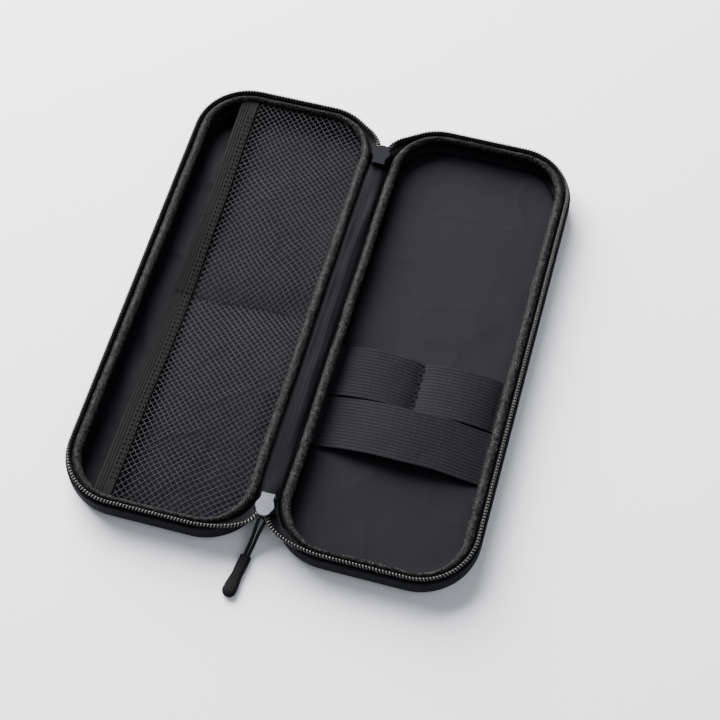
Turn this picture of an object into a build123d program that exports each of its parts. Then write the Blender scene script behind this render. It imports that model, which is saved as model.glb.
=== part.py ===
from build123d import *
import math
import os

# A slim zip-round organizer pouch for cables, lying wide open on its back.
#
# Two shallow trays of moulded foam and cloth lie side by side and are joined by a narrow spine of cloth.
# A coil zip runs round the three free sides, with one slider parked at each end of the spine.
# The left tray holds a net pocket with an elastic mouth and a seam down to the floor that makes it two.
# The right tray holds a padded floor and two straps of wide elastic that hold leads and plugs.
#
# Frame: +Z up, the spine along Y at X = 0, the outsides of both trays resting on Z = 0.
# Every size is in millimetres. The left half is modelled, and what the halves share is mirrored across X = 0.

# ---- driving sizes ----
HALF_WIDTH = 88.0  # one tray across, at its outer wall
LENGTH = 224.0  # one tray along the spine
CORNER_RADIUS = 26.0  # plan radius of the four corners of a tray
RIM_HEIGHT = 15.0  # the plane in which the two rows of zip teeth meet when shut
SPINE_GAP = 4.5  # between the two trays' outer walls

SHELL_THICKNESS = 1.8  # foam and its outer cloth
SHELL_TOP = 11.4  # where the zip tape is sewn on
EDGE_RADIUS = 6.0  # roll of the outer wall into the base
BOARD_THICKNESS = 0.8
BOARD_INSET = 7.5
LINING_THICKNESS = 0.4
PAD_THICKNESS = 1.2
PAD_INSET = 6.6

TAPE_THICKNESS = 0.6
TAPE_INSET = 0.3  # outer face of the upright zip tape, in from the tray's outer wall
TAPE_TOP = 14.4
TAPE_FLANGE_INSET = 3.45  # inner edge of the part of the tape that is sewn flat on the rim
TOOTH_INSET = 1.0
TOOTH_DEPTH = 2.2
TOOTH_BOTTOM = 12.1
TOOTH_REACH = 0.45  # how far a tooth reaches past the meeting plane, into the other row
TOOTH_ROOT = 13.7
TOOTH_PITCH = 2.2
TOOTH_SLOT = 1.3  # space between two teeth, which takes a tooth of the other row
BINDING_INSET = 5.3  # middle of the rolled binding, in from the tray's outer wall
BINDING_HALF_WIDTH = 1.85
BINDING_HALF_HEIGHT = 1.6
BINDING_Z = 12.4
RIM_INSET = 7.3  # what lies inside the binding keeps this far in

CREASE_Z = RIM_HEIGHT - SPINE_GAP / 2  # the two creases the spine folds on
SPINE_THICKNESS = 0.9
CREASE_CLEARANCE = 0.3
FLAP_Z = 12.7  # middle of the cloth that runs from each tray's rim to its crease
FLAP_WELT_X = 3.8  # outer face of the folded cloth under it, which is sewn to the rim

SLIDER_LENGTH = 10.6
BACK_SLIDER_Y = 83.8  # square end of each parked slider, from the middle of the spine
FRONT_SLIDER_Y = 89.6
SLIDER_REAR_HALF = 3.1
SLIDER_WAIST_HALF = 2.75
SLIDER_WIDE_HALF = 4.5
SLIDER_NOSE_HALF = 2.2
SLIDER_Z = 13.8  # middle of the slider, between its two plates
SLIDER_THICKNESS = 4.4
SLIDER_PLATE = 1.1
SLIDER_LIP = 0.8  # flange that holds the teeth in the slider's channel
NOTCH_BOTTOM = 10.0  # the trays' walls dip this low beside a slider
ZIP_GAP = 1.7  # from a slider's nose to the first tooth
BRIDGE_WIDTH = 1.2
BRIDGE_BAR = 0.9
BRIDGE_HOLE = 1.9
BRIDGE_LENGTH = 7.8
BRIDGE_LEG = 1.0

CORD_DIAMETER = 1.5
CORD_LOOP_HALF = 1.7  # half the width of the cord's loop in the slider's bridge
CORD_STRAND_HALF = 0.8  # half the spacing of the two strands where they enter the grip
GRIP_LENGTH = 19.5
GRIP_HALF_WIDTH = 2.4
GRIP_END_RADIUS = 3.0
GRIP_THICKNESS = 3.6
GRIP_CHAMFER = 0.8
GRIP_BITE = 3.0  # how deep the ends of the cord are moulded into the grip

ELASTIC_WIDTH = 25.0
ELASTIC_THICKNESS = 1.0
STRAP_FIRST_Y = -8.0  # edge of the divided strap nearest the back
STRAP_SPACING = 0.6
STRAP_INSET = 8.5  # ends of the straps, in from the tray's outer wall
LOWER_ARCH = 5.5  # clear height under the undivided strap
UPPER_ARCH = 3.4
SEAM_WIDTH = 1.6

MOUTH_X = -72.5  # free edge of the pocket's elastic
MOUTH_ELASTIC_WIDTH = 8.5
MOUTH_ELASTIC_THICKNESS = 1.4
NET_THICKNESS = 0.8
NET_SEAM_MOUTH_Z = 3.3  # underside of the net where the dividing seam starts, by the mouth
NET_SEAM_SPINE_Z = 7.4
NET_RIM_Z = 10.6
STITCH = (2.0, 0.6, 0.3)  # length, width and height of one stitch

# ---- sizes that follow ----
OUTER_X = SPINE_GAP / 2 + HALF_WIDTH
TRAY_X = SPINE_GAP / 2 + HALF_WIDTH / 2
BOARD_Z = SHELL_THICKNESS
LINING_Z = BOARD_Z + BOARD_THICKNESS
FLOOR_Z = LINING_Z + LINING_THICKNESS
PAD_TOP = FLOOR_Z + PAD_THICKNESS
CORNER_Y = LENGTH / 2 - CORNER_RADIUS
BACK_ZIP_END = BACK_SLIDER_Y + SLIDER_LENGTH + ZIP_GAP
FRONT_ZIP_END = FRONT_SLIDER_Y + SLIDER_LENGTH + ZIP_GAP
SPINE_ENDS = (1.2 - FRONT_SLIDER_Y, BACK_SLIDER_Y - 1.2)
LEFT = Pos(-TRAY_X, 0, 0)
RIGHT = Pos(TRAY_X, 0, 0)


def outline(inset):
    """Plan of a tray, taken in all round, centred on the origin."""
    return RectangleRounded(
        HALF_WIDTH - 2 * inset, LENGTH - 2 * inset, CORNER_RADIUS - inset
    )


def prism(inset, bottom, top, edge_radius=0.0):
    """A tray-shaped block, with its lower edge rolled if asked."""
    block = Pos(0, 0, bottom) * extrude(outline(inset), top - bottom)
    if edge_radius:
        block = fillet(block.edges().group_by(Axis.Z)[0], edge_radius)
    return block


def between(x_range, y_range, z_range):
    """Block between two places on each axis."""
    spans = (x_range, y_range, z_range)
    middle = [(low + high) / 2 for low, high in spans]
    return Pos(*middle) * Box(*[high - low for low, high in spans])


def slider_notches():
    """Room beside each parked slider, cut from the spine side of the left tray."""
    reach = (-9.0, 0.0)
    rise = (NOTCH_BOTTOM, RIM_HEIGHT + 1)
    back = (BACK_SLIDER_Y - 1.2, BACK_ZIP_END - 0.5)
    front = (0.5 - FRONT_ZIP_END, 1.2 - FRONT_SLIDER_Y)
    return [between(reach, back, rise), between(reach, front, rise)]


def shell():
    """Moulded outer tray: flat base, rolled edge, upright wall."""
    inner_radius = EDGE_RADIUS - SHELL_THICKNESS
    body = prism(0, 0, SHELL_TOP, EDGE_RADIUS)
    body -= prism(SHELL_THICKNESS, SHELL_THICKNESS, RIM_HEIGHT, inner_radius)
    return LEFT * body - slider_notches()


def base_board():
    """Stiff sheet between the shell and the lining."""
    return LEFT * prism(BOARD_INSET, BOARD_Z, LINING_Z)


def lining():
    """Cloth tray that lines the shell and covers the board."""
    outer_radius = EDGE_RADIUS - LINING_Z
    outer = prism(SHELL_THICKNESS, LINING_Z, SHELL_TOP, outer_radius)
    inner_inset = SHELL_THICKNESS + LINING_THICKNESS
    inner = prism(inner_inset, FLOOR_Z, RIM_HEIGHT, outer_radius - LINING_THICKNESS)
    return LEFT * (outer - inner) - slider_notches()


def binding():
    """Rolled binding tape that covers the raw seam, all round the inside of the rim."""
    path = outline(BINDING_INSET).wire().moved(Pos(0, 0, BINDING_Z))
    start = Plane(origin=path @ 0, z_dir=path % 0, x_dir=(0, 0, 1))
    section = start * Ellipse(BINDING_HALF_HEIGHT, BINDING_HALF_WIDTH)
    return LEFT * sweep(section, path)


def spine_side_gap():
    """Block that removes the zip along the spine, between the two sliders."""
    half = CORNER_RADIUS - SPINE_GAP
    return between((-half, half), (-FRONT_ZIP_END, BACK_ZIP_END), (0, 2 * RIM_HEIGHT))


def zip_tape():
    """Zip tape on three sides: sewn flat on the rim, then turned up to carry the teeth."""
    flange = prism(TAPE_INSET, SHELL_TOP, SHELL_TOP + TAPE_THICKNESS)
    flange -= prism(TAPE_FLANGE_INSET, SHELL_TOP, SHELL_TOP + TAPE_THICKNESS)
    upright = prism(TAPE_INSET, SHELL_TOP, TAPE_TOP)
    upright -= prism(TOOTH_INSET, SHELL_TOP, TAPE_TOP)
    return LEFT * (flange + upright) - spine_side_gap()


def tooth_places(phase):
    """Middle and direction of every space between teeth, at an even pitch along the zip."""
    inset = TOOTH_INSET + TOOTH_DEPTH / 2
    radius = CORNER_RADIUS - inset
    corner_x = HALF_WIDTH / 2 - CORNER_RADIUS
    start, end = (
        math.degrees(math.asin((y - CORNER_Y) / (CORNER_RADIUS - TOOTH_INSET)))
        for y in (FRONT_ZIP_END, BACK_ZIP_END)
    )
    front = Line((-corner_x, -LENGTH / 2 + inset), (corner_x, -LENGTH / 2 + inset))
    near_front = CenterArc((corner_x, -CORNER_Y), radius, -start, start - 90)
    far_front = CenterArc((-corner_x, -CORNER_Y), radius, -90, -90)
    side = Line((-HALF_WIDTH / 2 + inset, -CORNER_Y), (-HALF_WIDTH / 2 + inset, CORNER_Y))
    far_back = CenterArc((-corner_x, CORNER_Y), radius, 180, -90)
    back = Line((-corner_x, LENGTH / 2 - inset), (corner_x, LENGTH / 2 - inset))
    near_back = CenterArc((corner_x, CORNER_Y), radius, 90, end - 90)
    path = Wire([near_front, front, far_front, side, far_back, back, near_back])
    count = int(path.length / TOOTH_PITCH)
    step = 1 / count
    return [
        (path.position_at((i + phase) * step), path.tangent_at((i + phase) * step))
        for i in range(count)
    ]


def zip_teeth(phase):
    """Row of teeth on three sides, with spaces that take the other row when shut."""
    top = RIM_HEIGHT + TOOTH_REACH
    row = prism(TOOTH_INSET, TOOTH_BOTTOM, top)
    row -= prism(TOOTH_INSET + TOOTH_DEPTH, TOOTH_BOTTOM, top)
    row -= Pos(TRAY_X, 0, 0) * spine_side_gap()
    height = top - TOOTH_ROOT
    space = Box(TOOTH_SLOT, 2 * TOOTH_DEPTH, 2 * height)
    cuts = [
        Pos(place.X, place.Y, top) * Rot(0, 0, math.degrees(math.atan2(way.Y, way.X))) * space
        for place, way in tooth_places(phase)
    ]
    return LEFT * (row - cuts)


def hinge_flap():
    """Edge of the spine cloth, from the binding to the crease, on one tray."""
    inner = SPINE_GAP / 2 + TAPE_FLANGE_INSET
    outer = SPINE_GAP / 2 + CREASE_CLEARANCE
    half = TAPE_THICKNESS / 2
    flap = between((-inner, -outer), SPINE_ENDS, (FLAP_Z - half, FLAP_Z + half))
    welt = between((-inner, -FLAP_WELT_X), SPINE_ENDS, (SHELL_TOP, FLAP_Z - half))
    return flap + welt


def spine_strip():
    """Strip of cloth over webbing between the two creases."""
    edge = SPINE_GAP / 2 - CREASE_CLEARANCE
    half = SPINE_THICKNESS / 2
    return between((-edge, edge), SPINE_ENDS, (CREASE_Z - half, CREASE_Z + half))


def slider_outline():
    """Plan of a slider's plate: square end, waist, round shoulders and nose, towards +Y."""
    shoulder_y = 0.55 * SLIDER_LENGTH
    right = [
        (SLIDER_REAR_HALF, 0),
        (SLIDER_WAIST_HALF, 0.24 * SLIDER_LENGTH),
        (SLIDER_WIDE_HALF, shoulder_y),
        (SLIDER_NOSE_HALF, SLIDER_LENGTH),
    ]
    left = [(-x, y) for x, y in reversed(right)]
    plan = Polygon(*right, *left, align=None)
    waist = plan.vertices().group_by(Axis.Y)[1]
    plan = fillet(waist, 3.0)
    plan = fillet(plan.vertices().group_by(Axis.Y)[-1], 3.0)
    shoulders = [v for v in plan.vertices() if abs(v.Y - shoulder_y) < 0.01]
    return fillet(shoulders, 2.5)


def slider(rear_y):
    """Cast slider: two plates joined by a wedge at the nose, side flanges, and a bridge for the cord."""
    lower = SLIDER_Z - SLIDER_THICKNESS / 2
    upper = SLIDER_Z + SLIDER_THICKNESS / 2
    face = slider_outline()
    block = Pos(0, 0, lower) * extrude(face, SLIDER_THICKNESS)
    block = chamfer(block.faces().filter_by(Axis.Z).edges(), 0.2)
    gap_bottom = lower + SLIDER_PLATE
    gap = SLIDER_THICKNESS - 2 * SLIDER_PLATE
    channel = Pos(0, SLIDER_LENGTH / 2, SLIDER_Z) * Box(
        3 * SLIDER_WIDE_HALF, 2 * SLIDER_LENGTH, gap
    )
    wedge_plan = Polygon(
        (0, SLIDER_LENGTH - 0.4), (-1.5, 8.2), (0, 4.4), (1.5, 8.2), align=None
    )
    wedge = Pos(0, 0, gap_bottom) * extrude(wedge_plan, gap)
    flange_length = 0.62 * SLIDER_LENGTH
    flange_block = Pos(0, flange_length / 2, SLIDER_Z) * Box(
        2 * SLIDER_WIDE_HALF + 2, flange_length, gap
    )
    throat = Pos(0, 0, gap_bottom) * extrude(scale(face, (0.82, 1.2, 1)), gap)
    tape_slot = Pos(0, flange_length / 2, SLIDER_Z) * Box(
        2 * SLIDER_WIDE_HALF + 2, flange_length, gap - 2 * SLIDER_LIP
    )
    flanges = ((flange_block & block) - throat) - tape_slot
    body = (block - channel) + wedge + flanges
    middle = SLIDER_LENGTH / 2
    bar_bottom = lower - BRIDGE_HOLE - BRIDGE_BAR
    arch_height = lower - bar_bottom
    arch = Pos(0, middle, (lower + bar_bottom) / 2) * Box(
        BRIDGE_WIDTH, BRIDGE_LENGTH, arch_height
    )
    arch = fillet(arch.edges().filter_by(Axis.X).group_by(Axis.Z)[0], 1.2)
    hole = Pos(0, middle, lower - BRIDGE_HOLE / 2) * Box(
        2 * BRIDGE_WIDTH, BRIDGE_LENGTH - 2 * BRIDGE_LEG, BRIDGE_HOLE
    )
    return Pos(0, rear_y, 0) * (body + (arch - hole))


# The cord's middle where it passes through the bridge is the line that a pull swings on.
SLIDER_BOTTOM = SLIDER_Z - SLIDER_THICKNESS / 2
PIVOT_Z = SLIDER_BOTTOM - BRIDGE_HOLE / 2 - 0.05
PIVOT_AHEAD = (
    SLIDER_LENGTH / 2 + BRIDGE_LENGTH / 2 - BRIDGE_LEG - CORD_DIAMETER / 2 - 0.15
)  # from the slider's square end
BACK_PIVOT_Y = BACK_SLIDER_Y + PIVOT_AHEAD
FRONT_PIVOT_Y = -FRONT_SLIDER_Y - PIVOT_AHEAD
print("pull pivots", round(BACK_PIVOT_Y, 3), round(FRONT_PIVOT_Y, 3), round(PIVOT_Z, 3))

# Where each grip lies: middle of its cord end in plan, and its direction in degrees from +X.
FRONT_GRIP = ((-3.3, -113.6), -98.0)
BACK_GRIP = ((0.0, 73.2), -90.0)


def cord_tube(name, points):
    """Round cord along straight runs and the largest arcs that the runs allow."""
    places = [Vector(*p) for p in points]
    radii = []
    for before, here, after in zip(places, places[1:], places[2:]):
        run = min((here - before).length, (after - here).length)
        half_turn = math.radians((here - before).get_angle(after - here)) / 2
        radii.append(0.45 * run / math.tan(half_turn))
    path = FilletPolyline(*points, radius=radii)
    start = Plane(origin=path @ 0, z_dir=path % 0)
    tube = sweep(start * Circle(CORD_DIAMETER / 2), path)
    plain = math.pi * CORD_DIAMETER**2 / 4 * path.length
    print(name, "length", round(path.length, 1), "radii", [round(r, 1) for r in radii])
    print(name, "volume", round(tube.volume, 1), "section times length", round(plain, 1))
    return tube


def strand_ends(grip):
    """Where the two strands end inside a grip, the one nearer -X first."""
    (x, y), heading = grip
    along = Vector(1, 0, 0).rotate(Axis.Z, heading)
    across = Vector(1, 0, 0).rotate(Axis.Z, heading + 90) * CORD_STRAND_HALF
    middle = Vector(x, y, GRIP_THICKNESS / 2) + along * GRIP_BITE
    return [tuple(middle - across), tuple(middle + across)]


def front_pull_cord():
    """Loop from the front grip, up through the slider's bridge and back."""
    left, right = sorted(strand_ends(FRONT_GRIP))
    y = FRONT_PIVOT_Y
    route = [
        left,
        (-3.2, y - 11.9, 3.0),
        (-2.1, y - 5.6, 8.0),
        (-CORD_LOOP_HALF, y, PIVOT_Z),
        (CORD_LOOP_HALF, y, PIVOT_Z),
        (1.45, y - 2.7, 9.8),
        (-0.35, y - 6.8, 7.0),
        (-1.5, y - 11.5, 3.2),
        right,
    ]
    return cord_tube("front_pull_cord", route)


def back_pull_cord():
    """Loop from the back grip, which is tucked under the spine, up to the slider's bridge."""
    left, right = sorted(strand_ends(BACK_GRIP))
    y = BACK_PIVOT_Y
    route = [
        left,
        (-0.85, y - 12.4, 3.2),
        (-1.05, y - 6.2, 7.4),
        (-CORD_LOOP_HALF, y, PIVOT_Z),
        (CORD_LOOP_HALF, y, PIVOT_Z),
        (1.05, y - 6.2, 7.4),
        (0.85, y - 12.4, 3.2),
        right,
    ]
    return cord_tube("back_pull_cord", route)


def pull_grip(grip):
    """Moulded grip that widens to a round end, lying flat."""
    end = GRIP_LENGTH - GRIP_END_RADIUS
    plan = Polygon(
        (0, -GRIP_HALF_WIDTH),
        (end, -GRIP_END_RADIUS),
        (end, GRIP_END_RADIUS),
        (0, GRIP_HALF_WIDTH),
        align=None,
    )
    plan += Pos(end, 0) * Circle(GRIP_END_RADIUS)
    whole = extrude(plan, GRIP_THICKNESS)
    whole = chamfer(whole.faces().filter_by(Axis.Z).edges(), GRIP_CHAMFER)
    (x, y), heading = grip
    return Pos(x, y, 0) * Rot(0, 0, heading) * whole


def base_pad():
    """Padded floor of the right tray."""
    pad = prism(PAD_INSET, FLOOR_Z, PAD_TOP)
    pad = fillet(pad.edges().group_by(Axis.Z)[-1], 0.5)
    return RIGHT * pad


def arched_strap(start_x, end_x, rise):
    """Side view of a strap that is sewn down at both ends and stands off the floor between."""
    middle = (start_x + end_x) / 2
    foot = 2.0
    over = ThreePointArc(
        (start_x, PAD_TOP), (middle, PAD_TOP + rise + ELASTIC_THICKNESS), (end_x, PAD_TOP)
    )
    under = ThreePointArc(
        (end_x - foot, PAD_TOP), (middle, PAD_TOP + rise), (start_x + foot, PAD_TOP)
    )
    return Wire([over, Line(over @ 1, under @ 0), under, Line(under @ 1, over @ 0)])


def strap(wires, first_y):
    """The strap's side views, given the width of the elastic towards the front."""
    solids = []
    for wire in wires:
        face = make_face(Plane.XZ * wire)
        solids.append(Pos(0, first_y, 0) * extrude(face, ELASTIC_WIDTH, dir=(0, -1, 0)))
    return solids


STRAP_START = SPINE_GAP / 2 + STRAP_INSET
STRAP_END = OUTER_X - STRAP_INSET


def upper_loop():
    """Strap that a middle seam divides into two loops."""
    seam_start = TRAY_X - SEAM_WIDTH / 2
    seam_end = TRAY_X + SEAM_WIDTH / 2
    arches = strap(
        [
            arched_strap(STRAP_START, seam_start + 0.2, UPPER_ARCH),
            arched_strap(seam_end - 0.2, STRAP_END, UPPER_ARCH),
        ],
        STRAP_FIRST_Y,
    )
    sewn = Pos(TRAY_X, STRAP_FIRST_Y - ELASTIC_WIDTH / 2, PAD_TOP + ELASTIC_THICKNESS / 2) * Box(
        SEAM_WIDTH + 1.2, ELASTIC_WIDTH, ELASTIC_THICKNESS
    )
    return sewn + arches


def lower_loop():
    """Undivided strap in front of the divided one."""
    first = STRAP_FIRST_Y - ELASTIC_WIDTH - STRAP_SPACING
    return strap([arched_strap(STRAP_START, STRAP_END, LOWER_ARCH)], first)[0]


def loop_stitches():
    """Row of stitches down the divided strap's seam."""
    length, width, height = STITCH
    count = int(ELASTIC_WIDTH / (length + 0.8))
    z = PAD_TOP + ELASTIC_THICKNESS + height / 2
    row = [
        Pos(TRAY_X, STRAP_FIRST_Y - (i + 0.5) * ELASTIC_WIDTH / count, z)
        * Box(width, length, height)
        for i in range(count)
    ]
    return Compound(children=row)


def sagging_profile(x, seam_z, thickness):
    """Section of the pocket across one X: up at both ends, down at the dividing seam."""
    end_y = LENGTH / 2 - RIM_INSET
    lower = [(-end_y, NET_RIM_Z), (0, seam_z), (end_y, NET_RIM_Z)]
    upper = [(y, z + thickness) for y, z in reversed(lower)]
    points = [(x, y, z) for y, z in lower + upper]
    return make_face(Polyline(*points, close=True))


def within_rim():
    """The space inside the left tray's binding."""
    return LEFT * prism(RIM_INSET, 0, 2 * RIM_HEIGHT)


NET_START = MOUTH_X + MOUTH_ELASTIC_WIDTH


def mesh_pocket():
    """Net sewn in at both ends and along the spine, and down to the floor across the middle."""
    mouth = sagging_profile(NET_START, NET_SEAM_MOUTH_Z, NET_THICKNESS)
    spine = sagging_profile(-SPINE_GAP / 2 - RIM_INSET, NET_SEAM_SPINE_Z, NET_THICKNESS)
    return loft([mouth, spine], ruled=True) & within_rim()


def pocket_elastic():
    """Elastic that gathers the pocket's mouth."""
    profile = sagging_profile(MOUTH_X, NET_SEAM_MOUTH_Z, MOUTH_ELASTIC_THICKNESS)
    return extrude(profile, MOUTH_ELASTIC_WIDTH, dir=(1, 0, 0)) & within_rim()


def pocket_stitches():
    """Row of stitches along the seam that divides the pocket."""
    length, width, height = STITCH
    end = -SPINE_GAP / 2 - RIM_INSET
    count = int((end - NET_START) / (2 * length))
    rise = (NET_SEAM_SPINE_Z - NET_SEAM_MOUTH_Z) / (end - NET_START)
    row = []
    for i in range(count):
        x = NET_START + (i + 0.5) * 2 * length
        z = NET_SEAM_MOUTH_Z + (x - NET_START) * rise + NET_THICKNESS + height
        row.append(Pos(x, 0, z) * Rot(0, -math.degrees(math.atan(rise)), 0) * Box(length, width, height))
    return Compound(children=row)


def mirrored(shape):
    """The same piece on the right tray."""
    return mirror(shape, about=Plane.YZ)


def front_end(shape):
    """A piece of the back end turned round for the front end."""
    return Rot(0, 0, 180) * shape


os.makedirs("parts", exist_ok=True)
back_cord = back_pull_cord()
front_cord = front_pull_cord()
parts = {
    "left_shell": shell(),
    "left_base_board": base_board(),
    "left_lining": lining(),
    "left_binding": binding(),
    "left_zip_tape": zip_tape(),
    "left_zip_teeth": zip_teeth(0.25),
    "left_hinge_flap": hinge_flap(),
    "mesh_pocket": mesh_pocket(),
    "pocket_elastic": pocket_elastic(),
    "pocket_stitches": pocket_stitches(),
    "spine_strip": spine_strip(),
    "back_slider": slider(BACK_SLIDER_Y),
    "front_slider": front_end(slider(FRONT_SLIDER_Y)),
    "back_pull_cord": back_cord,
    "back_pull_grip": pull_grip(BACK_GRIP) - back_cord,
    "front_pull_cord": front_cord,
    "front_pull_grip": pull_grip(FRONT_GRIP) - front_cord,
    "base_pad": base_pad(),
    "upper_loop": upper_loop(),
    "lower_loop": lower_loop(),
    "loop_stitches": loop_stitches(),
}
for shared in ("shell", "base_board", "lining", "binding", "zip_tape", "hinge_flap"):
    parts["right_" + shared] = mirrored(parts["left_" + shared])
parts["right_zip_teeth"] = mirrored(zip_teeth(0.75))
for name, shape in parts.items():
    export_step(shape, f"parts/{name}.step")
    print(name, "solids", len(shape.solids()), "volume", round(shape.volume, 1))
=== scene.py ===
"""Looks of a slim zip-round organizer pouch that lies wide open.

Each sub-assembly is a class that holds its sizes in millimetres and builds its meshes as numpy surfaces.
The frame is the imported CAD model: +Z up, the spine along Y at X = 0, both trays resting on Z = 0.
"""

import logging
import math
from collections.abc import Callable, Sequence
from dataclasses import dataclass, field
from enum import Enum

import bmesh
import bpy
import numpy as np
from mathutils import Matrix, Vector


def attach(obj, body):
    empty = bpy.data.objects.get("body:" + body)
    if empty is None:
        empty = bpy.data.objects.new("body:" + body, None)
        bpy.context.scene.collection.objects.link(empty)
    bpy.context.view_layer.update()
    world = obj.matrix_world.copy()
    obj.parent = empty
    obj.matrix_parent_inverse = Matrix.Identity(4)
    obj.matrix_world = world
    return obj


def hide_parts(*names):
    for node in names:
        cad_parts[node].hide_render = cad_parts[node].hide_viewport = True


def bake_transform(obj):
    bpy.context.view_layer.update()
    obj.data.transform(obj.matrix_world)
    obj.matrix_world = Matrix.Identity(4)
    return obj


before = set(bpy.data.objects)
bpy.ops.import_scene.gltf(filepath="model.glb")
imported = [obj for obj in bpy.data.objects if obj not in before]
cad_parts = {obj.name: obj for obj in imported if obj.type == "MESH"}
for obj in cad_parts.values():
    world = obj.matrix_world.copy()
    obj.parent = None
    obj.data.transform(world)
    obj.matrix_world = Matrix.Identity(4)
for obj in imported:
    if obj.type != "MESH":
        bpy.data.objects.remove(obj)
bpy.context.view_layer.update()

logging.basicConfig(level=logging.INFO, format="%(message)s")
LOG = logging.getLogger("pouch")

MM = 0.001
Array = np.ndarray
Color = tuple[float, float, float]


# ---------------------------------------------------------------- arrays and meshes


class Noise:
    """Smooth value noise on a plane, from a fixed table of random heights."""

    def __init__(self, seed: int, size: int = 64) -> None:
        """Fills the table.

        Args:
            seed: picks the table.
            size: cells along each side before the noise repeats.
        """
        self.table = np.random.default_rng(seed).uniform(-1.0, 1.0, (size, size))
        self.size = size

    def __call__(self, x: Array, y: Array) -> Array:
        """Height at each point: the four nearest table values, mixed by smooth steps."""
        fx, fy = np.floor(x), np.floor(y)
        tx, ty = x - fx, y - fy
        tx, ty = tx * tx * (3 - 2 * tx), ty * ty * (3 - 2 * ty)
        i, j = fx.astype(int) % self.size, fy.astype(int) % self.size
        i1, j1 = (i + 1) % self.size, (j + 1) % self.size
        low = self.table[i, j] * (1 - tx) + self.table[i1, j] * tx
        high = self.table[i, j1] * (1 - tx) + self.table[i1, j1] * tx
        return low * (1 - ty) + high * ty

    def octaves(self, x: Array, y: Array, count: int = 3) -> Array:
        """Sum of the noise at doubling frequency and halving height."""
        return sum(self(x * 2**k + 17 * k, y * 2**k + 31 * k) / 2**k for k in range(count))

    def ridges(self, x: Array, y: Array) -> Array:
        """Narrow creases where the noise changes sign: 1 on the crease and 0 away from it."""
        return np.clip(1 - np.abs(self.octaves(x, y, 2)) * 3.2, 0, 1) ** 2


def smooth(low: float, high: float, value: Array) -> Array:
    """Smooth step from 0 at low to 1 at high."""
    t = np.clip((value - low) / (high - low), 0, 1)
    return t * t * (3 - 2 * t)


def full_turn(count: int) -> Array:
    """Angles of evenly spaced points round a circle, in radians."""
    return np.linspace(0, 2 * math.pi, count, endpoint=False)


def squared_off(value: Array, power: float) -> Array:
    """Sines or cosines bent towards -1 and 1, which turns a circle into a rounded box."""
    return np.sign(value) * np.abs(value) ** power


def arc_points(center: tuple, radius: float, start: float, end: float, count: int) -> Array:
    """Points on an arc, with angles in degrees."""
    angle = np.radians(np.linspace(start, end, count))
    return np.stack([center[0] + radius * np.cos(angle), center[1] + radius * np.sin(angle)], -1)


def bridge(start: Array, leaving: Array, finish: Array, arriving: Array, count: int) -> Array:
    """Smooth curve between two points.

    Args:
        start: where it begins.
        leaving: its direction and pull there.
        finish: where it ends.
        arriving: its direction and pull there.
        count: number of points.
    """
    t = np.linspace(0, 1, count)[:, None]
    weights = (2 * t**3 - 3 * t**2 + 1, t**3 - 2 * t**2 + t, -2 * t**3 + 3 * t**2, t**3 - t**2)
    return sum(weight * part for weight, part in zip(weights, (start, leaving, finish, arriving)))


def evenly_spaced(line: Array, step: float) -> Array:
    """The same plane line with points at an even spacing."""
    gaps = np.linalg.norm(np.diff(line, axis=0), axis=1)
    along = np.r_[0, np.cumsum(gaps)]
    even = np.linspace(0, along[-1], int(along[-1] / step))
    return np.stack([np.interp(even, along, line[:, k]) for k in (0, 1)], -1)


def add_mesh(
    name: str,
    points: Array,
    quads: Array,
    uv: Array | None = None,
    weld: float = 0.004,
) -> bpy.types.Object:
    """Puts arrays into a mesh object.

    Args:
        name: the piece's name.
        points: (n, 3) positions in millimetres.
        quads: (m, 4) vertex numbers.
        uv: (n, 2) values for the UV map, or None.
        weld: distance in millimetres under which vertices are merged.

    Returns:
        The object, shaded smooth, with its normals outward.
    """
    mesh = bpy.data.meshes.new(name)
    mesh.from_pydata((points.reshape(-1, 3) * MM).tolist(), [], quads.tolist())
    if uv is not None:
        layer = mesh.uv_layers.new(name="surface")
        corners = np.empty(len(mesh.loops), dtype=np.int32)
        mesh.loops.foreach_get("vertex_index", corners)
        layer.data.foreach_set("uv", uv.reshape(-1, 2)[corners].astype(np.float32).ravel())
    piece = bpy.data.objects.new(name, mesh)
    bpy.context.scene.collection.objects.link(piece)
    work = bmesh.new()
    work.from_mesh(mesh)
    bmesh.ops.remove_doubles(work, verts=work.verts, dist=weld * MM)
    bmesh.ops.dissolve_degenerate(work, edges=work.edges, dist=weld * MM * 0.5)
    bmesh.ops.recalc_face_normals(work, faces=work.faces)
    for face in work.faces:
        face.smooth = True
    work.to_mesh(mesh)
    work.free()
    mesh.update()
    return piece


def grid_quads(rows: int, columns: int, wrap_rows: bool, wrap_columns: bool) -> Array:
    """Vertex numbers of the quads of a grid of points, row by row."""
    r = np.arange(rows if wrap_rows else rows - 1)
    c = np.arange(columns if wrap_columns else columns - 1)
    i, j = np.meshgrid(r, c, indexing="ij")
    i1, j1 = (i + 1) % rows, (j + 1) % columns
    corners = [i * columns + j, i1 * columns + j, i1 * columns + j1, i * columns + j1]
    return np.stack(corners, -1).reshape(-1, 4)


def lathe_grid(
    name: str,
    points: Array,
    wrap_rows: bool = False,
    wrap_columns: bool = False,
    uv: Array | None = None,
) -> bpy.types.Object:
    """A mesh from a grid of points, (rows, columns, 3), in millimetres."""
    quads = grid_quads(points.shape[0], points.shape[1], wrap_rows, wrap_columns)
    return add_mesh(name, points, quads, uv)


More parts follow.
